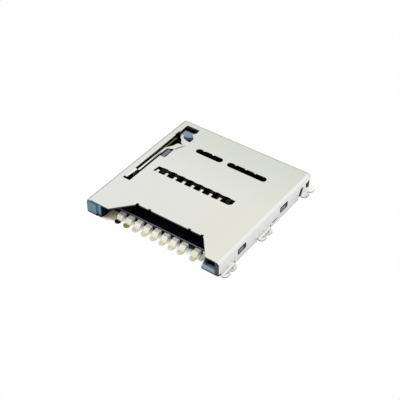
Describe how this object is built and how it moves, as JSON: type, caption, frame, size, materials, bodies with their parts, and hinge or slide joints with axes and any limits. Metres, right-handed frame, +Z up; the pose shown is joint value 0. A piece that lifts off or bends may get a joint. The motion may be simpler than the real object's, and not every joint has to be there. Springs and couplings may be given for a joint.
{
  "type": "memory card socket",
  "caption": "Flat push-push socket for a micro memory card: folded steel cover with comb window and lanced pin leaf over a moulded tray, gull-wing solder tails at the card entry.",
  "frame": {"origin": "on the board plane under the middle of the socket: midway across its width and midway between its front corners and the tips of its rear tabs", "axes": "+Z up off the board, +Y the way the card goes in, +X to the right seen from the card entry"},
  "size_m": [0.017, 0.0168, 0.0021],
  "materials": {
    "cover_steel": "satin",
    "black_plastic": "semi-gloss",
    "gold_plate": "satin, thin pale gold over the copper alloy",
    "spring_steel": "satin"
  },
  "bodies": {
    "socket": {"housing": "black_plastic", "cover": "cover_steel", "contact_1": "gold_plate", "contact_2": "gold_plate", "contact_3": "gold_plate", "contact_4": "gold_plate", "contact_5": "gold_plate", "contact_6": "gold_plate", "contact_7": "gold_plate", "contact_8": "gold_plate", "detect_switch_spring": "gold_plate", "detect_switch_terminal": "gold_plate", "ground_terminal": "gold_plate", "eject_spring": "spring_steel"},
    "slider": {"slider": "black_plastic"},
    "cam_pin": {"cam_pin": "spring_steel"}
  },
  "joints": [
    {"name": "slider_travel", "type": "slide", "parent": "socket", "child": "slider", "axis": [0, 1, 0], "range_m": [0, 0.0036], "stiffness_N_per_m": 60, "deforming": ["eject_spring"]},
    {"name": "pin_swing", "type": "hinge", "parent": "socket", "child": "cam_pin", "pos_m": [-0.0071, 0.00526, 0.0016], "axis": [0, 0, 1], "range_deg": [0, 4]}
  ],
  "couplings": [
    {"joint": "pin_swing", "follows": "slider_travel", "rad_per_m": 18.7}
  ]
}
